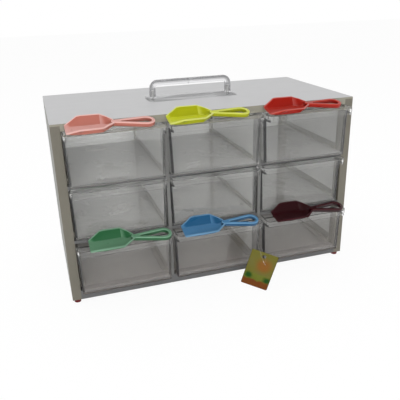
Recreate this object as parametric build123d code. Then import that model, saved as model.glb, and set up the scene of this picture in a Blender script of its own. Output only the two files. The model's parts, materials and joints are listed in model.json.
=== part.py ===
from build123d import *
import math
import os

# Drawer storage box: millimetres, +X right, +Y back, +Z up.
# The origin is the centre of the cabinet's footprint, on the table.

# Cabinet
foot_height = 6.0
foot_diameter = 11.0
foot_base_diameter = 10.0
foot_inset = 7.6
body_depth = 227.0
panel_thickness = 3.0
corner_post_width = 13.2
divider_width = 5.0
front_post_depth = 18.0
rail_depth = 12.0
bottom_rail_height = 14.5
mid_rail_height = 4.7
fascia_height = 7.5
rear_divider_width = 12.0
rear_post_depth = 12.0
divider_panel_thickness = 2.0

# Runners
runner_bearing = 8.0
runner_flange = 2.0
runner_web_height = 6.0

# Drawers
columns = 3
rows = ("c", "b", "a")
drawer_width = 140.2
drawer_height = 77.6
drawer_wall = 2.2
drawer_taper = 2.3
drawer_corner = 2.4
ledge_depth = 15.0
ledge_thickness = 2.2
ledge_corner = 7.0
lip_height = 10.8
lip_band_height = 6.1
lip_step = 0.8

# Clearances
side_gap = 0.5
top_gap = 0.5
seat_gap = 0.3
rail_gap = 0.6
rear_gap = 1.0
rest_gap = 0.3
screw_gap = 0.1

# Scoops
scoop_length = 120.0
bowl_length = 64.0
bowl_width = 44.0
bowl_floor = 25.4
bowl_height = 11.9
bowl_wall = 1.6
bowl_bevel = 1.5
bowl_bevel_rise = 0.9
inner_bevel = 1.1
inner_bevel_rise = 0.6
neck_lift = 4.5
loop_width = 24.0
loop_bar = 4.5
loop_height = 5.5
loop_droop = 3.0
neck_width = 8.0
slot_width = 2.6
slot_start = 74.0
scoop_lean = 13.0
upper_rim_gap = 0.5
upper_overhang = 1.9
lower_rim_gap = 4.6
lower_overhang = 7.0

# Each scoop's row, column and the place of its lip from the drawer's left side
scoop_places = {
    "pink": ("a", 1, 5.0),
    "yellow": ("a", 2, -2.4),
    "red": ("a", 3, 0.6),
    "green": ("c", 1, 18.2),
    "blue": ("c", 2, 10.7),
    "maroon": ("c", 3, 13.4),
}

# Shares of the bowl's length, floor, width, neck lift and height at its stations, from the lip to the neck
bowl_stations = (
    (0.00, 0.90, 0.58, 0.30, 0.32),
    (0.12, 0.96, 0.74, 0.08, 0.60),
    (0.27, 1.00, 0.97, 0.00, 0.97),
    (0.36, 1.00, 1.00, 0.00, 1.00),
    (0.74, 0.92, 0.98, 0.00, 1.00),
    (0.87, 0.56, 0.60, 0.35, 0.96),
    (1.00, 0.28, 0.20, 1.00, 0.84),
)

# The same shares for the end of the bowl's hollow, a ramp up to the neck
bowl_ramp = (0.26, 0.30, 1.00, 0.88)

# Carry handle
plate_margin = 4.5
plate_depth = 44.0
plate_thickness = 3.0
plate_corner = 6.0
plate_edge = 1.0
grip_margin = 2.1
grip_height = 27.6
grip_depth = 9.0
grip_bar = 9.3
grip_leg = 10.0
grip_outer_corner = 13.0
grip_inner_corner = 4.0
grip_edge = 3.4
grip_boss_diameter = 8.0
grip_boss_height = 0.8

# Screws
handle_screw_diameter = 4.0
handle_screw_head = 7.0
handle_screw_head_height = 2.4
handle_screw_bite = 11.0
foot_screw_diameter = 2.8
foot_screw_head = 5.4
foot_screw_head_height = 1.6
foot_screw_bite = 10.0

# Hang tag
tag_width = 42.0
tag_height = 62.0
tag_thickness = 0.8
tag_corner = 2.0
tag_hole = 6.0
tag_hole_inset = 7.0
tag_yaw = -29.8
tag_roll = -16.7
tag_forward = 59.7
tag_floor_gap = 0.3
tag_side_gap = 1.6
tag_loop_wire = 0.8
tag_loop_radius = 6.5

# Places that follow from the sizes
cell_width = drawer_width + 2 * side_gap
drawer_length = body_depth - rear_gap - rear_post_depth - panel_thickness
body_width = 2 * corner_post_width + columns * cell_width + (columns - 1) * divider_width
row_pitch = drawer_height + top_gap + mid_rail_height + rail_gap
left = -body_width / 2
right = body_width / 2
front = -body_depth / 2
back = body_depth / 2
body_bottom = foot_height
first_drawer_bottom = body_bottom + bottom_rail_height + rail_gap
drawer_bottom = {row: first_drawer_bottom + i * row_pitch for i, row in enumerate(rows)}
drawer_top = {row: drawer_bottom[row] + drawer_height for row in rows}
fascia_bottom = drawer_top[rows[-1]] + top_gap
panel_underside = fascia_bottom + fascia_height
body_top = panel_underside + panel_thickness
inner_back = back - panel_thickness
rear_post_front = front + drawer_length + rear_gap
plate_top = body_top + plate_thickness
grip_length = cell_width - 2 * grip_margin
plate_length = grip_length + 2 * plate_margin


def slab(x0, x1, y0, y1, z0, z1):
    """Box between two corners."""
    middle = Pos((x0 + x1) / 2, (y0 + y1) / 2, (z0 + z1) / 2)
    return middle * Box(x1 - x0, y1 - y0, z1 - z0)


def cell_left(column):
    """Left side of a column's opening, for columns 1, 2, 3."""
    return left + corner_post_width + (column - 1) * (cell_width + divider_width)


def cell_centre(column):
    return cell_left(column) + cell_width / 2


def divider_centre(column):
    """Middle of the post at the right of a column."""
    return cell_left(column) + cell_width + divider_width / 2


# Carcass


def top_panel():
    panel = slab(left, right, front, back, panel_underside, body_top)
    return panel - handle_screw_holes()


def bottom_panel():
    x0 = left + panel_thickness
    x1 = right - panel_thickness
    panel = slab(x0, x1, front + rail_depth, inner_back, body_bottom, body_bottom + panel_thickness)
    for side in (-1, 1):
        panel -= front_corner_post(side)
    return panel - foot_screw_holes()


def back_panel():
    return slab(left, right, inner_back, back, body_bottom, panel_underside)


def side_panel(side):
    outer = side * right
    inner = side * (right - panel_thickness)
    x0, x1 = sorted((outer, inner))
    return slab(x0, x1, front + front_post_depth, inner_back, body_bottom, panel_underside)


def divider_panel(column):
    x = divider_centre(column)
    half = divider_panel_thickness / 2
    floor = body_bottom + panel_thickness
    return slab(x - half, x + half, front + front_post_depth, rear_post_front, floor, panel_underside)


def front_corner_post(side):
    outer = side * right
    inner = side * (right - corner_post_width)
    x0, x1 = sorted((outer, inner))
    post = slab(x0, x1, front, front + front_post_depth, body_bottom, panel_underside)
    return post - foot_screw_holes()


def front_divider(column):
    x = divider_centre(column)
    half = divider_width / 2
    z0 = body_bottom + bottom_rail_height
    return slab(x - half, x + half, front, front + front_post_depth, z0, fascia_bottom)


def rear_corner_post(side):
    outer = side * (right - panel_thickness)
    inner = side * (right - corner_post_width - runner_bearing / 2)
    x0, x1 = sorted((outer, inner))
    post = slab(x0, x1, rear_post_front, inner_back, body_bottom + panel_thickness, panel_underside)
    return post - foot_screw_holes()


def rear_divider(column):
    x = divider_centre(column)
    half = rear_divider_width / 2
    floor = body_bottom + panel_thickness
    return slab(x - half, x + half, rear_post_front, inner_back, floor, panel_underside)


def cross_rail(z0, z1):
    """Rail over the whole width between the corner posts."""
    x0 = left + corner_post_width
    x1 = right - corner_post_width
    return slab(x0, x1, front, front + rail_depth, z0, z1)


def mid_rail(row):
    """Three lengths of rail under a row, between the posts."""
    z1 = drawer_bottom[row] - rail_gap
    z0 = z1 - mid_rail_height
    lengths = []
    for column in range(1, columns + 1):
        x0 = cell_left(column)
        lengths.append(slab(x0, x0 + cell_width, front, front + rail_depth, z0, z1))
    return Compound(children=lengths)


def runner_wall(column, side):
    """Distance from a column's middle to the panel that carries its runner."""
    outermost = 1 if side < 0 else columns
    if column == outermost:
        return right - panel_thickness - abs(cell_centre(column))
    return (cell_width + divider_width - divider_panel_thickness) / 2


def runner_pair(row, column):
    """Left and right rail of one drawer: a flange under its floor and a web beside it."""
    top = drawer_bottom[row] - seat_gap
    edge = drawer_width / 2 - drawer_taper
    x = cell_centre(column)
    y0 = front + front_post_depth
    z0 = top - runner_flange
    rails = []
    for side in (-1, 1):
        wall = x + side * runner_wall(column, side)
        tip = x + side * (edge - runner_bearing)
        guide = x + side * (edge + side_gap)
        flange = slab(min(wall, tip), max(wall, tip), y0, rear_post_front, z0, top)
        web = slab(min(wall, guide), max(wall, guide), y0, rear_post_front, z0, top + runner_web_height)
        rails.append(flange + web)
    return Compound(children=rails)


# Feet


def foot_centres():
    for x in (left + foot_inset, right - foot_inset):
        for y in (front + foot_inset, back - foot_inset):
            yield x, y


def foot(x, y):
    """Round foot, narrower at the table, with a recess for its screw."""
    base = Pos(x, y, 0) * Circle(foot_base_diameter / 2)
    top = Pos(x, y, foot_height) * Circle(foot_diameter / 2)
    body = loft([base, top])
    recess = foot_screw_head_height + rest_gap
    body -= Pos(x, y, recess / 2) * Cylinder(foot_screw_head / 2 + rest_gap, recess)
    return body - foot_screw_holes()


def upright(x, y, z0, z1, diameter):
    """Cylinder that stands between two heights."""
    return Pos(x, y, (z0 + z1) / 2) * Cylinder(diameter / 2, z1 - z0)


def foot_screw_holes():
    top = foot_height + foot_screw_bite + screw_gap
    hole = foot_screw_diameter + 2 * screw_gap
    return Compound(children=[upright(x, y, 0, top, hole) for x, y in foot_centres()])


def foot_screws():
    screws = []
    for x, y in foot_centres():
        head_top = foot_screw_head_height + rest_gap
        head = upright(x, y, rest_gap, head_top, foot_screw_head)
        shank = upright(x, y, head_top, foot_height + foot_screw_bite, foot_screw_diameter)
        screws.append(head + shank)
    return Compound(children=screws)


# Carry handle


def handle_screw_places():
    return [side * (grip_length - grip_leg) / 2 for side in (-1, 1)]


def handle_screw_holes():
    hole = handle_screw_diameter + 2 * screw_gap
    top = plate_top + handle_screw_bite + screw_gap
    return Compound(children=[upright(x, 0, panel_underside, top, hole) for x in handle_screw_places()])


def handle_screws():
    screws = []
    head_bottom = panel_underside - handle_screw_head_height
    for x in handle_screw_places():
        head = upright(x, 0, head_bottom, panel_underside, handle_screw_head)
        shank = upright(x, 0, panel_underside, plate_top + handle_screw_bite, handle_screw_diameter)
        screws.append(head + shank)
    return Compound(children=screws)


def handle_plate():
    outline = RectangleRounded(plate_length, plate_depth, plate_corner)
    plate = extrude(Pos(0, 0, body_top) * outline, plate_thickness)
    plate = fillet(plate.faces().sort_by(Axis.Z)[-1].edges(), plate_edge)
    return plate - handle_screw_holes()


def handle_grip():
    """Bar on two legs, with a small moulded boss at the middle of the bar."""
    outline = Rectangle(grip_length, 2 * grip_height)
    outline = fillet(outline.vertices(), grip_outer_corner)
    window = Rectangle(grip_length - 2 * grip_leg, 2 * (grip_height - grip_bar))
    window = fillet(window.vertices(), grip_inner_corner)
    plane = Plane(origin=(0, 0, plate_top), x_dir=(1, 0, 0), z_dir=(0, -1, 0))
    grip = extrude(plane * (outline - window), grip_depth / 2, both=True)
    grip -= slab(left, right, front, back, plate_top - 2 * grip_height, plate_top)
    rounded = [e for e in grip.edges() if abs(abs(e.center().Y) - grip_depth / 2) < screw_gap]
    rounded = [e for e in rounded if e.center().Z > plate_top + screw_gap]
    grip = fillet(rounded, grip_edge)
    boss = Cylinder(grip_boss_diameter / 2, grip_depth + 2 * grip_boss_height)
    boss = Pos(0, 0, plate_top + grip_height - grip_bar / 2) * Rot(90, 0, 0) * boss
    return grip + boss - handle_screw_holes()


# Drawers


def tub_section(z, inset):
    """Outline of the tub at a height: its sides and rear lean outwards, its front is upright."""
    lean = drawer_taper * (1 - z / drawer_height)
    width = drawer_width - 2 * lean - 2 * inset
    length = drawer_length - lean - 2 * inset
    corner = max(drawer_corner - inset, drawer_corner / 2)
    return Pos(0, inset + length / 2, z) * RectangleRounded(width, length, corner)


def ledge_outline(inset, z):
    """Plan of the forward ledge, mirrored about the front wall's face."""
    corner = ledge_corner - inset
    return Pos(0, 0, z) * RectangleRounded(drawer_width - 2 * inset, 2 * (ledge_depth - inset), corner)


def drawer():
    """Clear tub with a hooded ledge: front face at Y 0, underside at Z 0."""
    tub = loft([tub_section(0, 0), tub_section(drawer_height, 0)])
    above = drawer_height + top_gap
    tub -= loft([tub_section(drawer_wall, drawer_wall), tub_section(above, drawer_wall)])
    ledge_bottom = drawer_height - lip_height
    ledge = extrude(ledge_outline(0, drawer_height - lip_band_height), lip_band_height)
    ledge += extrude(ledge_outline(lip_step, ledge_bottom), lip_height)
    hollow = lip_height - ledge_thickness
    ledge -= extrude(ledge_outline(ledge_thickness, ledge_bottom), hollow)
    keep = slab(-drawer_width, drawer_width, -2 * ledge_depth, drawer_wall / 2, 0, drawer_height)
    return tub + (ledge & keep)


# Scoops


def polygon_at(x, points):
    """Closed outline in the plane square to X."""
    return make_face(Polyline([(x, y, z) for y, z in points], close=True))


def outer_points(floor, rim, lift, height):
    half_floor = bowl_floor / 2 * floor - bowl_bevel
    half_rim = bowl_width / 2 * rim
    z0 = neck_lift * lift
    z1 = bowl_height * height
    bevel = half_floor + bowl_bevel
    side = [(half_floor, z0), (bevel, z0 + bowl_bevel_rise), (half_rim, z1)]
    return side + [(-y, z) for y, z in reversed(side)]


def inner_points(floor, rim, lift, height):
    half_floor = bowl_floor / 2 * floor - bowl_bevel
    half_rim = bowl_width / 2 * rim - bowl_wall
    z0 = neck_lift * lift + bowl_wall
    z1 = bowl_height * height
    bevel = half_floor + inner_bevel
    side = [(half_floor, z0), (bevel, z0 + inner_bevel_rise), (half_rim, z1), (half_rim, z1 + bowl_height)]
    return side + [(-y, z) for y, z in reversed(side)]


def teardrop(small, small_x, large, large_x):
    """Two circles and the strip between their common tangents."""
    lean = math.asin((large - small) / (large_x - small_x))
    shape = Pos(small_x, 0) * Circle(small) + Pos(large_x, 0) * Circle(large)
    near = (small_x - small * math.sin(lean), small * math.cos(lean))
    far = (large_x - large * math.sin(lean), large * math.cos(lean))
    strip = Polyline([near, far, (far[0], -far[1]), (near[0], -near[1])], close=True)
    return shape + make_face(strip)


def scoop():
    """Shovel bowl and loop handle: lip at X 0, floor at Z 0, centred on Y."""
    outer = [polygon_at(bowl_length * s[0], outer_points(*s[1:])) for s in bowl_stations]
    bowl = loft(outer, ruled=True)
    first = bowl_stations[0][1:]
    inner = [polygon_at(-bowl_wall, inner_points(*first))]
    inner += [polygon_at(bowl_length * s[0], inner_points(*s[1:])) for s in bowl_stations[:-1]]
    inner.append(polygon_at(bowl_length - 2 * bowl_wall, inner_points(*bowl_ramp)))
    bowl -= loft(inner, ruled=True)
    end_x = scoop_length - loop_width / 2
    ring = teardrop(neck_width / 2, bowl_length, loop_width / 2, end_x)
    ring -= teardrop(slot_width / 2, slot_start, loop_width / 2 - loop_bar, end_x)
    loop = extrude(ring, loop_height)
    droop = math.degrees(math.atan2(loop_droop, scoop_length - bowl_length))
    loop = Pos(bowl_length, 0, neck_lift) * Rot(0, droop, 0) * Pos(-bowl_length, 0, 0) * loop
    return bowl + loop


def turned(y, z):
    """A point of the bowl's section after the scoop leans back."""
    angle = math.radians(scoop_lean)
    return y * math.cos(angle) - z * math.sin(angle), y * math.sin(angle) + z * math.cos(angle)


def ledge_edge_z(row, overhang):
    """Height of a leaning scoop's toe beyond the ledge, its floor just off the ledge's edge."""
    return drawer_top[row] + rest_gap - overhang * math.tan(math.radians(scoop_lean))


def upper_toe():
    """Place of a top row scoop's toe, its far wall just off the top panel's edge."""
    toe_z = ledge_edge_z("a", upper_overhang)
    toe = turned(-bowl_floor / 2, 0)
    heel = turned(bowl_floor / 2, 0)
    rim = turned(bowl_width / 2, bowl_height)
    share = (body_top - toe_z + toe[1] - heel[1]) / (rim[1] - heel[1])
    wall_y = heel[0] + share * (rim[0] - heel[0]) - toe[0]
    return front - upper_rim_gap - wall_y, toe_z


def lower_toe():
    """Place of a bottom row scoop's toe, its far rim in front of the row above."""
    reach = turned(bowl_width / 2, bowl_height)[0] - turned(-bowl_floor / 2, 0)[0]
    return front - lower_rim_gap - reach, ledge_edge_z("c", lower_overhang)


def scoop_location(colour):
    """Place of a scoop's lip and floor, leaning back over its drawer's ledge."""
    row, column, from_side = scoop_places[colour]
    x = cell_left(column) + side_gap + from_side
    y, z = upper_toe() if row == "a" else lower_toe()
    toe_y, toe_z = turned(-bowl_floor / 2, 0)
    return Pos(x, y - toe_y, z - toe_z) * Rot(scoop_lean, 0, 0)


def pulled_out(row):
    """How far a row's drawers stand open, held off by the scoops on their ledges."""
    if row == "a":
        return front - upper_toe()[0] - ledge_depth - upper_overhang
    if row == "c":
        return front - lower_toe()[0] - ledge_depth - lower_overhang
    return 0.0


# Hang tag


def tag_location():
    """Upright card, turned about its own face and about the vertical, one corner just off the table."""
    half_w = tag_width / 2
    half_h = tag_height / 2
    roll = math.radians(abs(tag_roll))
    yaw = math.radians(tag_yaw)
    drop = half_w * math.sin(roll) + half_h * math.cos(roll)
    reach = (half_w * math.cos(roll) + half_h * math.sin(roll)) * math.cos(yaw)
    x = cell_left(columns) + side_gap - tag_side_gap - reach
    middle = Pos(x, front - tag_forward, drop + tag_floor_gap)
    return middle * Rot(0, 0, tag_yaw) * Rot(90, 0, 0) * Rot(0, 0, tag_roll)


def tag():
    card = RectangleRounded(tag_width, tag_height, tag_corner)
    card -= Pos(0, tag_height / 2 - tag_hole_inset) * Circle(tag_hole / 2)
    return tag_location() * extrude(card, tag_thickness)


def tag_pivot():
    """Middle of the blue scoop's near bar, which the tag's loop goes round."""
    along = scoop_length - loop_width / 2
    droop = loop_droop * (along - bowl_length) / (scoop_length - bowl_length)
    height = neck_lift - droop + loop_height / 2
    return (scoop_location("blue") * Pos(along, (loop_bar - loop_width) / 2, height)).position


def tag_loop():
    """Closed loop of wire in one plane, from the scoop's bar through the card's hole."""
    pivot = tag_pivot()
    place = tag_location()
    hole = (place * Pos(0, tag_height / 2 - tag_hole_inset, tag_thickness / 2)).position
    reach = hole - pivot
    across = Axis(place).direction.cross(reach).normalized()
    upward = reach.cross(across).normalized()
    tilt = math.asin(tag_loop_radius / reach.length)
    along = reach.normalized() * math.cos(tilt) + upward * math.sin(tilt)
    length = reach.length * math.cos(tilt) + tag_loop_radius
    plane = Plane(origin=pivot, x_dir=along, z_dir=across)
    track = plane * Pos(length / 2, 0) * SlotCenterToCenter(length, 2 * tag_loop_radius)
    path = track.face().outer_wire()
    section = Plane(origin=path @ 0, z_dir=path % 0) * Circle(tag_loop_wire / 2)
    return sweep(section, path=path)


# Files


def write(name, shape):
    shape.label = name
    export_step(shape, os.path.join("parts", name + ".step"))


def write_carcass():
    write("top_panel", top_panel())
    write("bottom_panel", bottom_panel())
    write("back_panel", back_panel())
    write("fascia", cross_rail(fascia_bottom, panel_underside))
    write("bottom_rail", cross_rail(body_bottom, body_bottom + bottom_rail_height))
    write("mid_rail_lower", mid_rail("b"))
    write("mid_rail_upper", mid_rail("a"))
    for side, name in ((-1, "left"), (1, "right")):
        column = 1 if side < 0 else 2
        write("side_panel_" + name, side_panel(side))
        write("divider_panel_" + name, divider_panel(column))
        write("front_post_" + name, front_corner_post(side))
        write("front_divider_" + name, front_divider(column))
        write("rear_post_" + name, rear_corner_post(side))
        write("rear_divider_" + name, rear_divider(column))


def write_fittings():
    names = ("front_left", "rear_left", "front_right", "rear_right")
    for name, (x, y) in zip(names, foot_centres()):
        write("foot_" + name, foot(x, y))
    write("foot_screws", foot_screws())
    write("handle_plate", handle_plate())
    write("handle_grip", handle_grip())
    write("handle_screws", handle_screws())


def write_drawers():
    tub = drawer()
    for row in rows:
        for column in range(1, columns + 1):
            name = f"{row}_{column}"
            place = Pos(cell_centre(column), front - pulled_out(row), drawer_bottom[row])
            write("drawer_" + name, place * tub)
            write("runners_" + name, runner_pair(row, column))


def write_scoops():
    for colour in scoop_places:
        write("scoop_" + colour, scoop_location(colour) * scoop())
    write("tag", tag())
    write("tag_loop", tag_loop())


def report_sizes():
    print("body", round(body_width, 2), body_depth, round(body_top, 2))
    print("rows stand open by", {row: round(pulled_out(row), 2) for row in rows})
    print("tag pivot", [round(v, 2) for v in tag_pivot()])


os.makedirs("parts", exist_ok=True)
write_carcass()
write_fittings()
write_drawers()
write_scoops()
report_sizes()
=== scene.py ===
import json
import math

import bmesh
import bpy
from mathutils import Matrix, Vector

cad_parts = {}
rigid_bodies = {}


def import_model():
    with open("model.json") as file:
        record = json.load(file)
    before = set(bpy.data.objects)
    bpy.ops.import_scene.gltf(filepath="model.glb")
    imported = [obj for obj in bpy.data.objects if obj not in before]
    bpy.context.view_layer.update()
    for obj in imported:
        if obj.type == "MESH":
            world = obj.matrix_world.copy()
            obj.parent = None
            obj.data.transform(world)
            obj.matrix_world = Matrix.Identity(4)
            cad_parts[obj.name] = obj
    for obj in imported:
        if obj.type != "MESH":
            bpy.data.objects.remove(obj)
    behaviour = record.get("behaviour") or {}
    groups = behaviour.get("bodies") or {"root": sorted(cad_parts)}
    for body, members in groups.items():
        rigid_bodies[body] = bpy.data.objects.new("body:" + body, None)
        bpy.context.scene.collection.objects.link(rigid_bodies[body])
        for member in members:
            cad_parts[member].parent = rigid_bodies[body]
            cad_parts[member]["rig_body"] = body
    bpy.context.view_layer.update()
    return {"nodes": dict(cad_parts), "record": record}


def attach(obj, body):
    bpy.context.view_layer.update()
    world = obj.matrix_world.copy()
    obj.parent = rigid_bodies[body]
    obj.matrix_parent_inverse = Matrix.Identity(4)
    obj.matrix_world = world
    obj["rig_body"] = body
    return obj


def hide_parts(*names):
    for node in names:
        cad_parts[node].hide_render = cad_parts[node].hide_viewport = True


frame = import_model()

MM = 0.001

# Where the solids' faces are, in millimetres
body_right = 230.0
body_front = -113.5
body_back = 113.5
body_underside = 6.0
plate_top = 279.5
drawer_height = 70.0

# The drawers' undersides and fronts at rest, from the lowest row to the top one
drawer_undersides = (21.1, 104.5, 187.9)
drawer_fronts = (-127.23, -113.5, -124.38)


# Finishes


class Value:
    """A socket of a finish. Arithmetic on it adds Math nodes."""

    def __init__(self, finish, socket):
        self.finish = finish
        self.socket = socket

    def math(self, operation, *others):
        return self.finish.math(operation, self, *others)

    def __add__(self, other):
        return self.math("ADD", other)

    def __radd__(self, other):
        return self.finish.math("ADD", other, self)

    def __sub__(self, other):
        return self.math("SUBTRACT", other)

    def __rsub__(self, other):
        return self.finish.math("SUBTRACT", other, self)

    def __mul__(self, other):
        return self.math("MULTIPLY", other)

    def __rmul__(self, other):
        return self.finish.math("MULTIPLY", other, self)

    def __gt__(self, other):
        return self.math("GREATER_THAN", other)

    def __lt__(self, other):
        return self.math("LESS_THAN", other)

    def __abs__(self):
        return self.math("ABSOLUTE")


class Patterns:
    """A node tree, and the patterns that are made in it."""

    def __init__(self, tree):
        self.tree = tree

    def node(self, kind, settings=None, sockets=None):
        """A node with its settings, then its sockets by name or number. Returns its outputs."""
        made = self.tree.nodes.new(kind)
        for name, value in (settings or {}).items():
            setattr(made, name, value)
        for name, value in (sockets or {}).items():
            self.feed(made.inputs[name], value)
        return made.outputs

    def feed(self, socket, value):
        if isinstance(value, Value):
            value = value.socket
        if isinstance(value, bpy.types.NodeSocket):
            self.tree.links.new(value, socket)
        else:
            socket.default_value = value

    def math(self, operation, *values):
        sockets = dict(enumerate(values))
        return Value(self, self.node("ShaderNodeMath", {"operation": operation}, sockets)[0])

    def mix(self, share, first, second):
        """A mix of two colours, by a share of the second."""
        sockets = {0: share, 6: first, 7: second}
        return self.node("ShaderNodeMix", {"data_type": "RGBA"}, sockets)[2]

    def blend(self, share, first, second):
        """A mix of two shaders, by a share of the second."""
        return self.node("ShaderNodeMixShader", None, {0: share, 1: first, 2: second})[0]

    def diffuse(self, colour):
        return self.node("ShaderNodeBsdfDiffuse", None, {"Color": colour})[0]

    def place(self):
        return self.node("ShaderNodeTexCoord")["Object"]

    def stretched(self, scale):
        """A place with each axis at its own scale, for marks that run along one of them."""
        sockets = {"Vector": self.place(), "Scale": scale}
        return self.node("ShaderNodeMapping", None, sockets)[0]

    def axes(self, vector=None):
        """The three parts of a place, in metres."""
        sockets = {0: self.place() if vector is None else vector}
        parts = self.node("ShaderNodeSeparateXYZ", None, sockets)
        return [Value(self, part) for part in parts]

    def noise(self, scale, detail=2.0, roughness=0.5, vector=None):
        sockets = {"Scale": scale, "Detail": detail, "Roughness": roughness}
        sockets["Vector"] = self.place() if vector is None else vector
        return Value(self, self.node("ShaderNodeTexNoise", None, sockets)["Fac"])

    def soft(self, value, low, high):
        """0 below one limit, 1 above the other and a smooth change between them."""
        sockets = {"Value": value, "From Min": low, "From Max": high}
        made = self.node("ShaderNodeMapRange", {"interpolation_type": "SMOOTHSTEP"}, sockets)
        return Value(self, made[0])


class Finish(Patterns):
    """A material with a Principled shader, built up from patterns."""

    def __init__(self, name, **constants):
        self.material = bpy.data.materials.new(name)
        self.material.use_nodes = True
        super().__init__(self.material.node_tree)
        self.shader = self.tree.nodes["Principled BSDF"]
        self.output = self.tree.nodes["Material Output"]
        for socket, value in constants.items():
            self.shader.inputs[socket.replace("_", " ")].default_value = value

    def shape(self, **fed):
        """Sets or links the shader's own sockets, named with _ for a space."""
        for name, value in fed.items():
            self.feed(self.shader.inputs[name.replace("_", " ")], value)

    def bump(self, height, depth):
        """Raises the surface by a pattern, up to a depth in metres."""
        sockets = {"Height": height, "Distance": depth, "Strength": 1.0}
        bump = self.node("ShaderNodeBump", None, sockets)["Normal"]
        self.feed(self.shader.inputs["Normal"], bump)

    def shadow_film(self, look):
        """Lets the lamps through to what is behind."""
        lamp = self.node("ShaderNodeLightPath")["Is Shadow Ray"]
        tint = {"Color": (0.99, 0.99, 0.99, 1.0)}
        film = self.node("ShaderNodeBsdfTransparent", None, tint)[0]
        self.feed(self.output.inputs["Surface"], self.blend(lamp, look, film))


def srgb(red, green, blue):
    """A colour as an eye reads it, 0 to 255, in Blender's linear values."""
    def linear(value):
        value /= 255
        return value / 12.92 if value <= 0.04045 else ((value + 0.055) / 1.055) ** 2.4
    return (linear(red), linear(green), linear(blue), 1.0)


def shade(colour, level):
    """A colour made darker or lighter."""
    return tuple(min(1.0, part * level) for part in colour[:3]) + (1.0,)


def moulded(name, colour, roughness=0.45, grain=0.00004, patch=0.06):
    """Moulded opaque plastic: faint patches, a fine grain and slightly uneven gloss."""
    made = Finish(name, IOR=1.5)
    patches = made.noise(14.0, 3.0)
    made.shape(Base_Color=made.mix(patches, shade(colour, 1 - patch), shade(colour, 1 + patch)))
    made.shape(Roughness=made.noise(60.0, 2.0) * 0.16 + (roughness - 0.08))
    made.bump(made.noise(2600.0, 1.0), grain)
    return made.material


def scoop_plastic(name, colour, painted_top_light):
    """Glossy coloured plastic with faint flow marks, painted paler on the faces that look up:
    painted light from above.
    """
    made = Finish(name, IOR=1.33)
    flow = made.noise(1.0, 3.0, vector=made.stretched((18.0, 90.0, 90.0)))
    facing = made.axes(made.node("ShaderNodeNewGeometry")["Normal"])
    # Painted light: faces that look up are painted paler, as if lit from above
    up = made.soft(facing[2], 0.40, 0.96)
    dark = made.mix(flow, shade(colour, 0.93), shade(colour, 1.07))
    painted_lit_faces = made.mix(flow, shade(painted_top_light, 0.95), shade(painted_top_light, 1.05))
    made.shape(Base_Color=made.mix(up, dark, painted_lit_faces))
    made.shape(Roughness=made.noise(120.0, 2.0) * 0.12 + 0.24)
    made.bump(made.noise(700.0, 2.0), 0.00003)
    return made.material


def panel_sheet(name, colour, outside, outside_mask, roughness=0.5):
    """Smooth sheet with long faint streaks, in another colour on its outer faces."""
    made = Finish(name, IOR=1.48)
    streaks = made.noise(1.0, 3.0, vector=made.stretched((6.0, 60.0, 60.0)))
    sheet = made.mix(streaks, shade(colour, 0.97), shade(colour, 1.02))
    outer = made.mix(streaks, shade(outside, 0.95), shade(outside, 1.05))
    made.shape(Base_Color=made.mix(outside_mask(made), sheet, outer))
    made.shape(Roughness=made.noise(40.0, 2.0) * 0.14 + (roughness - 0.07))
    made.bump(made.noise(900.0, 2.0), 0.00003)
    return made.material


# How far behind a face its own colour reaches, in millimetres
skin = 0.5
front_skin = 0.05


def on_front_edge(finish):
    return finish.axes()[1] < (body_front + front_skin) * MM


def on_outer_sides(finish):
    return abs(finish.axes()[0]) > (body_right - skin) * MM


def on_back(finish):
    return finish.axes()[1] > (body_back - skin) * MM


def underneath(finish):
    return finish.axes()[2] < (body_underside + skin) * MM


def clear_plastic(name, tint, roughness=0.03):
    """Clear moulded plastic that bends light and lets the lamps through."""
    made = Finish(name, IOR=1.49, Transmission_Weight=1.0)
    made.shape(Base_Color=tint)
    made.shape(Roughness=made.noise(90.0, 3.0) * 0.05 + roughness)
    made.bump(made.noise(45.0, 2.0), 0.00010)
    made.shadow_film(made.shader.outputs[0])
    return made.material


# The drawers' plastic: how much of each wall a pale diffuse haze covers, painted light that
# lightens the shaded inside seen through them
floor_haze = 0.30
side_haze = 0.07
wall_haze = 0.012

# Where the floors' haze begins and is full, behind a drawer's front, and where it ends, above its
# underside, in millimetres
haze_from, haze_full = 3.0, 9.0
haze_top, haze_end = 2.0, 3.0

# Painted shade for the dark look of the thick edges behind a drawer's front, where clear plastic
# bends the light away: its depth in millimetres and its share
painted_shade_depth = 8.0
painted_shade_share = 0.6

# Between these heights the haze turns from the lowest row's darker colour, painted shade for that
# row's shaded inside, to the paler colour of the rows above
painted_shade_below, unshaded_above = 60.0, 85.0


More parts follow.
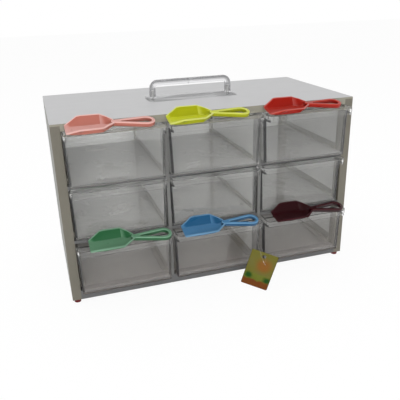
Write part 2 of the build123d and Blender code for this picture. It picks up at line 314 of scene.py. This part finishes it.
def drawer_plastic(name):
    """The drawers' clear plastic with a pale diffuse haze of painted light, floors most, side
    walls less, and painted shade in the lowest row and at the edges behind the fronts.
    """
    made = Finish(name, IOR=1.36, Transmission_Weight=1.0)
    made.shape(Base_Color=(0.985, 0.988, 0.985, 1.0))
    made.shape(Roughness=made.noise(90.0, 3.0) * 0.04 + 0.02)
    made.bump(made.noise(45.0, 2.0), 0.00008)
    _, depth, height = made.axes()
    facing = made.axes(made.node("ShaderNodeNewGeometry")["Normal"])
    sides = abs(facing[0]) > 0.7
    under = facing[2] < -0.7
    floors = 0.0
    # edges gathers where the painted shade of the thick edges goes
    edges = 0.0
    for underside, front in zip(drawer_undersides, drawer_fronts):
        above = made.soft(height, (underside - 1.0) * MM, underside * MM)
        top = made.soft(height, (underside + haze_top) * MM, (underside + haze_end) * MM)
        below = 1.0 - top
        behind = made.soft(depth, (front + haze_from) * MM, (front + haze_full) * MM)
        floors = above * below * behind + floors
        in_row = above * (height < (underside + drawer_height) * MM)
        near = depth < (front + painted_shade_depth) * MM
        edges = in_row * near * made.math("MAXIMUM", sides, under) + edges
    patchy_haze = made.noise(35.0, 4.0, 0.6) * 0.3 + 0.85
    patches = made.noise(12.0)
    # Painted shade: the haze is darker and warmer in the lowest row, where the inside is in shade
    low = made.mix(patches, srgb(178, 170, 164), srgb(186, 178, 172))
    high = made.mix(patches, srgb(230, 229, 226), srgb(240, 239, 236))
    colour = made.mix(made.soft(height, painted_shade_below * MM, unshaded_above * MM), low, high)
    share = (floors * floor_haze + sides * side_haze + wall_haze) * patchy_haze
    worn = made.blend(share, made.shader.outputs[0], made.diffuse(colour))
    # Painted shade: side walls and undersides just behind each front are painted dark grey
    worn = made.blend(edges * painted_shade_share, worn, made.diffuse(srgb(58, 58, 62)))
    made.shadow_film(worn)
    return made.material


def faint_sheet(name):
    """The handle's thin clear plate on the top: almost unseen, with a light gloss."""
    made = Finish(name, IOR=1.45)
    made.shape(Base_Color=made.mix(made.noise(50.0), srgb(196, 197, 198), srgb(214, 215, 216)))
    made.shape(Roughness=made.noise(90.0, 3.0) * 0.05 + 0.05)
    made.shape(Alpha=made.noise(30.0, 2.0) * 0.06 + 0.10)
    return made.material


def plated_steel(name):
    """Plated screws, slightly uneven in colour and gloss."""
    made = Finish(name, Metallic=0.5)
    made.shape(Base_Color=made.mix(made.noise(300.0), srgb(196, 196, 194), srgb(220, 220, 218)))
    made.shape(Roughness=made.noise(500.0) * 0.2 + 0.22)
    made.bump(made.noise(1500.0), 0.00002)
    return made.material


# The card's middle in metres, and how it is turned about the upright and in its own plane
card_middle = Vector((0.0493, -0.1732, 0.0360))
card_yaw = math.radians(-29.8)
card_roll = math.radians(-16.7)

# The card's patches: a spot's place across and up from the middle and its radius, in
# millimetres, and in metres where one band turns into the next
orange_spot = (4.2, 8.5, 13.0)
green_spots = ((-13.5, -14.0, 6.0), (16.0, -14.5, 6.5))
lower_edge = (-0.010, -0.006)
foot_edge = (-0.0215, -0.018)
card_rim = (0.0195, 0.0207)


def printed_card(name):
    """Card with plain patches: olive with an orange spot, two greens and an orange foot."""
    made = Finish(name, IOR=1.3)
    upright = Matrix.Rotation(math.pi / 2, 3, "X")
    turn = Matrix.Rotation(card_yaw, 3, "Z") @ upright @ Matrix.Rotation(card_roll, 3, "Z")
    settings = {"vector_type": "TEXTURE"}
    sockets = {"Vector": made.place(), "Location": card_middle, "Rotation": turn.to_euler()}
    card = made.node("ShaderNodeMapping", settings, sockets)[0]
    across, up = made.axes(card)[:2]
    wobble = (made.noise(90.0, 3.0, vector=card) - 0.5) * 0.008

    def spot(x, y, radius):
        aside = across - x * MM
        above = up - y * MM
        apart = (aside * aside + above * above).math("SQRT") + wobble
        return 1.0 - made.soft(apart, radius * 0.35 * MM, radius * 1.35 * MM)

    olive = made.mix(made.noise(55.0, 2.0, vector=card), srgb(104, 98, 8), srgb(104, 100, 56))
    upper = made.mix(spot(*orange_spot) * 0.8, olive, srgb(134, 80, 30))
    lower = made.mix(made.noise(75.0, 2.0, vector=card), srgb(92, 98, 22), srgb(108, 114, 44))
    greens = made.math("MAXIMUM", *[spot(*green) for green in green_spots])
    lower = made.mix(greens, lower, srgb(18, 66, 4))
    banded = made.mix(made.soft(up + wobble, *lower_edge), lower, upper)
    orange = made.mix(made.noise(120.0, 3.0, vector=card), srgb(96, 44, 6), srgb(114, 66, 14))
    banded = made.mix(made.soft(up + wobble, *foot_edge), orange, banded)
    edge = made.soft(abs(across), *card_rim)
    made.shape(Base_Color=made.mix(edge * 0.5, banded, srgb(60, 52, 20)))
    made.shape(Roughness=made.noise(200.0) * 0.2 + 0.4)
    made.bump(made.noise(1200.0), 0.00002)
    return made.material


# Painted light: the fascia and the top panel's front edge take the frame's cream painted paler,
# for the light that the scoops and the top throw on the fascia
painted_light_cream = srgb(146, 143, 130)
outer_grey = srgb(150, 150, 145)
white = srgb(232, 232, 230)
finishes = {
    # Painted shade: the frame's cream is written as dark as the front looks in its shade
    "frame_cream": moulded("frame_cream", srgb(112, 108, 97)),
    "frame_grey": moulded("frame_grey", srgb(112, 112, 110)),
    "rail_grey": moulded("rail_grey", srgb(96, 96, 96)),
    "runner_cream": moulded("runner_cream", srgb(150, 148, 138)),
    "clear_plastic": drawer_plastic("clear_plastic"),
    "fascia": moulded("fascia_cream", painted_light_cream),
    "foot_red": moulded("foot_red", srgb(96, 10, 12), 0.6),
    "screw_steel": plated_steel("screw_steel"),
    "loop_clear": clear_plastic("loop_clear", (0.9, 0.9, 0.9, 1.0)),
    "top": panel_sheet("panel_white", srgb(190, 190, 191), painted_light_cream, on_front_edge),
    "sides": panel_sheet("panel_sides", white, srgb(146, 146, 140), on_outer_sides),
    "back": panel_sheet("panel_back", srgb(188, 188, 186), outer_grey, on_back),
    "base": panel_sheet("panel_base", white, outer_grey, underneath),
    "handle_plate": faint_sheet("handle_plate"),
    "tag_card": printed_card("tag_card"),
}

# Each node takes the finish of its slot, or the one named here
slots = {s["node"]: s["material_slot"] for s in frame["record"]["subparts"]}
special = {
    "top_panel": "top", "fascia": "fascia", "back_panel": "back", "bottom_panel": "base",
    "side_panel_left": "sides", "side_panel_right": "sides",
    "divider_panel_left": "sides", "divider_panel_right": "sides",
    "front_divider_left": "frame_grey", "front_divider_right": "frame_grey",
    "mid_rail_lower": "rail_grey", "mid_rail_upper": "rail_grey", "bottom_rail": "rail_grey",
    "handle_plate": "handle_plate",
}

# Each scoop's colour, its paler colour painted on faces that look up as painted light from above,
# and the colour of its thin edges, painted lighter as a painted highlight
scoop_colours = {
    "pink": (srgb(178, 108, 94), srgb(204, 150, 142), srgb(230, 180, 172)),
    "yellow": (srgb(158, 162, 2), srgb(186, 192, 22), srgb(206, 212, 96)),
    "red": (srgb(152, 20, 3), srgb(158, 28, 8), srgb(182, 56, 40)),
    "green": (srgb(36, 94, 55), srgb(100, 146, 114), srgb(130, 172, 144)),
    "blue": (srgb(26, 84, 124), srgb(80, 134, 178), srgb(116, 162, 198)),
    "maroon": (srgb(42, 4, 9), srgb(46, 6, 12), srgb(66, 24, 30)),
}
for colour, (body, painted_top_light, edge) in scoop_colours.items():
    finishes["scoop_" + colour] = scoop_plastic("scoop_" + colour, body, painted_top_light)
    # The edges' finish paints the rims, the lip and the loop's rounded upper edges lighter: a
    # painted highlight
    finishes["edge_" + colour] = scoop_plastic("edge_" + colour, shade(edge, 0.9), edge)
for name, node in frame["nodes"].items():
    node.data.materials.clear()
    node.data.materials.append(finishes[special.get(name, slots[name])])


# Pieces


def piece(name, mesh, body, replaced):
    """Puts a mesh in the scene in place of a node of the solids."""
    made = bpy.data.objects.new(name, mesh)
    bpy.context.scene.collection.objects.link(made)
    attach(made, body)
    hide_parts(replaced)
    return made


def body_of_node(name):
    return frame["nodes"][name]["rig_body"]


# The scoops' sizes, in millimetres
bowl_length = 64.0
bowl_floor = 25.4
bowl_width = 44.0
bowl_height = 11.9
bowl_wall = 1.6
bowl_bevel = 1.5
neck_lift = 4.5
scoop_length = 120.0
loop_width = 24.0
loop_bar = 4.5
loop_height = 5.5
loop_droop = 3.0
neck_width = 8.0
slot_width = 2.6
slot_start = 74.0
rim_flange = 1.3
rim_depth = 1.3

# Shares of the bowl's length, floor, width, neck lift and height, from the lip to the neck
bowl_stations = (
    (0.00, 0.90, 0.58, 0.30, 0.32),
    (0.12, 0.96, 0.74, 0.08, 0.60),
    (0.27, 1.00, 0.97, 0.00, 0.97),
    (0.36, 1.00, 1.00, 0.00, 1.00),
    (0.74, 0.92, 0.98, 0.00, 1.00),
    (0.87, 0.56, 0.60, 0.35, 0.96),
    (1.00, 0.28, 0.20, 1.00, 0.84),
)


def bowl_section(station, inner):
    """One half of the bowl's section, as (across, height), from mid floor to rim."""
    _, floor, rim, lift, height = station
    wall = bowl_wall if inner else 0.0
    half_floor = bowl_floor / 2 * floor
    half_rim = bowl_width / 2 * rim - wall
    z0 = neck_lift * lift + wall
    z1 = bowl_height * height
    foot = [(half_floor * share, z0) for share in (0.0, 0.5)]
    foot += [(half_floor - bowl_bevel, z0), (half_floor - 0.3 * wall, z0 + bowl_bevel * 0.5)]
    z_foot = z0 + bowl_bevel * 0.5
    slope = [((half_floor + half_rim) / 2, (z_foot + z1) / 2)]
    if inner:
        return foot + slope + [(half_rim - 0.2, z1 - 0.4), (half_rim, z1)]
    under_rim = [(half_rim - 0.3, z1 - rim_depth)]
    rim_edge = [(half_rim + rim_flange, z1 - rim_depth + 0.2), (half_rim + rim_flange, z1)]
    return foot + slope + under_rim + rim_edge


def bowl(mesh):
    """The shovel-shaped bowl, with the faces of its rim and lip in the edges' finish, which
    paints them lighter: a painted highlight.
    """
    def row(station, inner):
        half = bowl_section(station, inner)
        whole = [(-y, z) for y, z in reversed(half[1:])] + half
        x = bowl_length * station[0]
        return [mesh.verts.new((x, y, z)) for y, z in whole]

    outer = [row(s, False) for s in bowl_stations]
    inner = [row(s, True) for s in bowl_stations]
    last = len(outer[0]) - 1
    flange = (0, 1, last - 2, last - 1)
    for out, out_next, hollow, hollow_next in zip(outer, outer[1:], inner, inner[1:]):
        for j in range(last):
            face = mesh.faces.new((out[j], out[j + 1], out_next[j + 1], out_next[j]))
            face.material_index = 1 if j in flange else 0
        for j in range(len(hollow) - 1):
            mesh.faces.new((hollow[j], hollow_next[j], hollow_next[j + 1], hollow[j + 1]))
        for j in (0, -1):
            rim = mesh.faces.new((out[j], out_next[j], hollow_next[j], hollow[j]))
            rim.material_index = 1
    for i in (0, -1):
        ends = mesh.faces.new(outer[i] + inner[i][::-1])
        ends.material_index = 1 if i == 0 else 0


# Points round the small and the large end of the loop
small_end_points = 9
large_end_points = 25


def teardrop(small, small_x, large, large_x):
    """Outline round two circles, from the small one's far side round to its near side."""
    lean = math.asin((large - small) / (large_x - small_x))
    points = []
    for i in range(small_end_points):
        angle = math.pi / 2 + lean + (math.pi - 2 * lean) * i / (small_end_points - 1)
        points.append((small_x + small * math.cos(angle), small * math.sin(angle)))
    for i in range(large_end_points):
        angle = -math.pi / 2 - lean + (math.pi + 2 * lean) * i / (large_end_points - 1)
        points.append((large_x + large * math.cos(angle), large * math.sin(angle)))
    return points


def loop_handle(mesh):
    """The flat loop that the scoop is held by, drooping to its end. Returns its upper edges."""
    end = scoop_length - loop_width / 2
    outline = teardrop(neck_width / 2, bowl_length, loop_width / 2, end)
    slot = teardrop(slot_width / 2, slot_start, loop_width / 2 - loop_bar, end)
    droop = math.atan2(loop_droop, scoop_length - bowl_length)
    turn = Matrix.Translation((bowl_length, 0, neck_lift)) @ Matrix.Rotation(droop, 4, "Y")

    def ring(points, height):
        return [mesh.verts.new(turn @ Vector((x - bowl_length, y, height))) for x, y in points]

    rings = [ring(outline, 0), ring(outline, loop_height), ring(slot, loop_height), ring(slot, 0)]
    count = len(outline)
    for near, far in zip(rings, rings[1:] + rings[:1]):
        for i in range(count):
            j = (i + 1) % count
            mesh.faces.new((near[i], near[j], far[j], far[i]))
    upper = [set(rings[1]), set(rings[2])]
    return [e for e in mesh.edges if any(set(e.verts) <= ring for ring in upper)]


def softened(mesh, edges, width, segments=2, finish=-1):
    """Rounds edges over, in the finish of the faces beside them or in another."""
    bmesh.ops.bevel(mesh, geom=edges, offset=width, segments=segments, affect="EDGES",
                    profile=0.5, clamp_overlap=True, material=finish)


# Roundings in millimetres, and the angle from which an edge of the bowl is rounded
loop_rounding = 1.0
bowl_rounding = 0.3
sharp_angle = math.radians(24)


def scoop_mesh(name, turn, finish, edge):
    """A scoop in its place, in metres."""
    handle = bmesh.new()
    rims = loop_handle(handle)
    # The loop's rounded upper edges take the second finish, the painted highlight
    softened(handle, rims, loop_rounding, 3, 1)
    shovel = bmesh.new()
    bowl(shovel)
    bmesh.ops.triangulate(shovel, faces=[f for f in shovel.faces if len(f.verts) > 4])
    bmesh.ops.recalc_face_normals(shovel, faces=shovel.faces)
    joined = [e for e in shovel.edges if e.is_manifold]
    sharp = [e for e in joined if e.calc_face_angle(0.0) > sharp_angle]
    softened(shovel, sharp, bowl_rounding)
    whole = bpy.data.meshes.new(name)
    spare = bpy.data.meshes.new("spare")
    shovel.to_mesh(spare)
    handle.from_mesh(spare)
    bpy.data.meshes.remove(spare)
    bmesh.ops.recalc_face_normals(handle, faces=handle.faces)
    bmesh.ops.transform(handle, matrix=turn @ Matrix.Scale(MM, 4), verts=handle.verts)
    for face in handle.faces:
        face.smooth = True
    handle.to_mesh(whole)
    handle.free()
    shovel.free()
    whole.materials.append(finish)
    # The second finish is the painted highlight on the rims, the lip and the rounded edges
    whole.materials.append(edge)
    return whole


# How the scoops lean back, and where their lips lie: x, then y and z of their row
scoop_lean = math.radians(13.0)
row_a_place = (-128.91, 268.22)
row_c_place = (-136.86, 100.24)
scoop_lips = {
    "pink": (-211.3, row_a_place), "yellow": (-72.5, row_a_place), "red": (76.7, row_a_place),
    "green": (-198.1, row_c_place), "blue": (-59.4, row_c_place), "maroon": (89.5, row_c_place),
}


def scoops():
    for colour, (x, (y, z)) in scoop_lips.items():
        node = "scoop_" + colour
        turn = Matrix.Translation(Vector((x, y, z)) * MM) @ Matrix.Rotation(scoop_lean, 4, "X")
        mesh = scoop_mesh(node + "_moulding", turn, finishes[node], finishes["edge_" + colour])
        made = piece(node + "_moulding", mesh, body_of_node(node), node)
        weighted = made.modifiers.new("even_shading", "WEIGHTED_NORMAL")
        weighted.keep_sharp = True


# The carry handle's sizes, in millimetres
grip_length = 137.0
grip_height = 27.6
grip_bar = 9.3
grip_leg = 10.0
grip_depth = 9.0
grip_corner = 13.0

# The low round boss on the bar's front and back: boss_edge is the width of its sloping rim
boss_radius = 4.0
boss_rise = 0.8
boss_edge = 0.7

# The bar's section: its points, and how square it is, 1 for an oval and 0 for a box
section_points = 28
section_bend = 0.72

# How much wider the bar is where it meets the plate, and up to what height
flare_share = 0.10
flare_height = 3.0

# Where the bar is cut across, from its corner to the middle, and the steps of a corner
bar_stations = (36.0, 18.0, 6.0, 4.0, 3.6, 3.1, 2.4, 1.6, 0.8, 0.0)
corner_steps = 12


def grip_track():
    """Centre line of the handle's bar from one foot to the other, as (x, z)."""
    half = (grip_length - grip_leg) / 2
    top = grip_height - grip_bar / 2
    radius = grip_corner - grip_leg / 2
    points = [(-half, 0.0), (-half, 1.2), (-half, 3.0), (-half, (top - radius) * 0.6)]
    for i in range(corner_steps + 1):
        angle = math.pi - math.pi / 2 * i / corner_steps
        x = -half + radius + radius * math.cos(angle)
        points.append((x, top - radius + radius * math.sin(angle)))
    points += [(-x, top) for x in bar_stations]
    return points + [(-x, z) for x, z in reversed(points[:-1])]


def boss_swell(x, z, across):
    """How far the bar's front and back stand out round the middle of its length."""
    if z < grip_height / 2:
        return 0.0
    inside = boss_radius - math.hypot(x, across)
    return boss_rise * min(1.0, max(0.0, inside / boss_edge))


def grip_mesh():
    """The clear bar: a rounded section swept from foot to foot, wider at the plate."""
    mesh = bmesh.new()
    track = grip_track()
    rows = []
    for i, (x, z) in enumerate(track):
        before = track[max(i - 1, 0)]
        after = track[min(i + 1, len(track) - 1)]
        along = Vector((after[0] - before[0], 0, after[1] - before[1])).normalized()
        outward = Vector((-along.z, 0, along.x))
        flare = 1.0 + flare_share * max(0.0, 1.0 - z / flare_height)
        width = grip_leg if z < grip_height - grip_corner else grip_bar
        row = []
        for k in range(section_points):
            angle = 2 * math.pi * k / section_points
            c, s = math.cos(angle), math.sin(angle)
            u = math.copysign(abs(c) ** section_bend, c) * width / 2 * flare
            v = math.copysign(abs(s) ** section_bend, s) * grip_depth / 2 * flare
            v += math.copysign(boss_swell(x, z, u), v)
            place = Vector((x, 0, plate_top + z)) + outward * u + Vector((0, v, 0))
            row.append(mesh.verts.new(place * MM))
        rows.append(row)
    for near, far in zip(rows, rows[1:]):
        for k in range(section_points):
            j = (k + 1) % section_points
            mesh.faces.new((near[k], near[j], far[j], far[k]))
    mesh.faces.new(rows[0][::-1])
    mesh.faces.new(rows[-1])
    bmesh.ops.recalc_face_normals(mesh, faces=mesh.faces)
    for face in mesh.faces:
        face.smooth = len(face.verts) == 4
    made = bpy.data.meshes.new("handle_bar")
    mesh.to_mesh(made)
    mesh.free()
    return made


def handle():
    mesh = grip_mesh()
    # Painted shade: the clear bar is tinted grey, for the grey look it takes from what it bends
    # and reflects
    painted_grey_tint = (0.56, 0.56, 0.57, 1.0)
    mesh.materials.append(clear_plastic("handle_clear", painted_grey_tint, 0.10))
    piece("handle_bar", mesh, body_of_node("handle_grip"), "handle_grip")


scoops()
handle()


# Floor, lights and camera


# The floor's size in metres, how much of it glows white to the eye, and how brightly
floor_half = 6.0
floor_share = 0.92
floor_glow = 1.02


def white_to_the_eye(name, colour):
    """A floor that is white in the picture and through clear plastic, with soft shadows."""
    made = Finish(name, Roughness=0.9)
    made.shape(Base_Color=colour)
    path = made.node("ShaderNodeLightPath")
    seen = made.math("MAXIMUM", path["Is Camera Ray"], path["Is Transmission Ray"])
    seen = seen.math("MAXIMUM", path["Is Glossy Ray"])
    sockets = {"Color": (1.0, 1.0, 1.0, 1.0), "Strength": floor_glow}
    light = made.node("ShaderNodeEmission", None, sockets)[0]
    both = made.blend(seen * floor_share, made.shader.outputs[0], light)
    made.feed(made.output.inputs["Surface"], both)
    return made.material


def studio_floor():
    mesh = bpy.data.meshes.new("floor")
    half = floor_half
    corners = [(-half, -half, 0.0), (half, -half, 0.0), (half, half, 0.0), (-half, half, 0.0)]
    mesh.from_pydata(corners, [], [(0, 1, 2, 3)])
    floor = bpy.data.objects.new("floor", mesh)
    bpy.context.scene.collection.objects.link(floor)
    mesh.materials.append(white_to_the_eye("floor", (0.86, 0.86, 0.86, 1.0)))


# What gloss shows of the world: its level on the camera's side, and what is added beyond
gloss_near = 0.3
gloss_beyond = 0.75


def studio_world(level):
    """White to the eye, and to gloss bright beyond the object and dim on the camera's side."""
    world = bpy.data.worlds.new("studio")
    bpy.context.scene.world = world
    world.use_nodes = True
    sky = Patterns(world.node_tree)
    path = sky.node("ShaderNodeLightPath")
    seen = sky.math("MAXIMUM", path["Is Camera Ray"], path["Is Transmission Ray"])
    toward = sky.axes(sky.node("ShaderNodeTexCoord")["Generated"])[1]
    shine = sky.soft(toward, -0.5, 0.5) * gloss_beyond + gloss_near
    strength = seen * (1.0 - level) + level
    strength = sky.math("ADD", strength, (shine - level) * path["Is Glossy Ray"])
    background = world.node_tree.nodes["Background"]
    sky.feed(background.inputs["Strength"], strength)
    background.inputs["Color"].default_value = (1.0, 1.0, 1.0, 1.0)


def softbox(name, place, aim, size, power, shiny=True):
    """A soft lamp over a rectangle. Gloss doesn't show one that isn't shiny."""
    lamp = bpy.data.lights.new(name, "AREA")
    lamp.shape = "RECTANGLE"
    lamp.size, lamp.size_y = size
    lamp.energy = power
    box = bpy.data.objects.new(name, lamp)
    box.location = place
    box.rotation_euler = (Vector(aim) - Vector(place)).to_track_quat("-Z", "Y").to_euler()
    box.visible_glossy = shiny
    bpy.context.scene.collection.objects.link(box)


def photo_camera():
    """The photograph's place and lens, worked out from the cabinet's edges."""
    place = Vector((-0.2427, -0.8118, 0.4331))
    yaw, pitch, roll = 0.3025, 0.38113, -0.02716
    flat = math.cos(pitch)
    ahead = Vector((math.sin(yaw) * flat, math.cos(yaw) * flat, -math.sin(pitch)))
    level = Vector((math.cos(yaw), -math.sin(yaw), 0.0))
    above = level.cross(ahead)
    right = level * math.cos(roll) + above * math.sin(roll)
    up = above * math.cos(roll) - level * math.sin(roll)
    turn = Matrix((right, up, -ahead)).transposed().to_4x4()
    data = bpy.data.cameras.new("camera")
    data.sensor_width = 36.0
    data.lens = 46.55
    data.clip_start = 0.01
    data.clip_end = 50.0
    camera = bpy.data.objects.new("camera", data)
    camera.matrix_world = Matrix.Translation(place) @ turn
    bpy.context.scene.collection.objects.link(camera)
    bpy.context.scene.camera = camera


studio_floor()
studio_world(level=0.55)
softbox("overhead", place=(-0.2, 0.1, 1.9), aim=(0.0, 0.0, 0.2), size=(1.8, 1.4), power=12.0)
softbox("front", place=(-0.4, -2.0, 0.5), aim=(0.0, 0.0, 0.17), size=(1.6, 0.8), power=20.0,
        shiny=False)
photo_camera()
bpy.context.scene.view_settings.view_transform = "Standard"
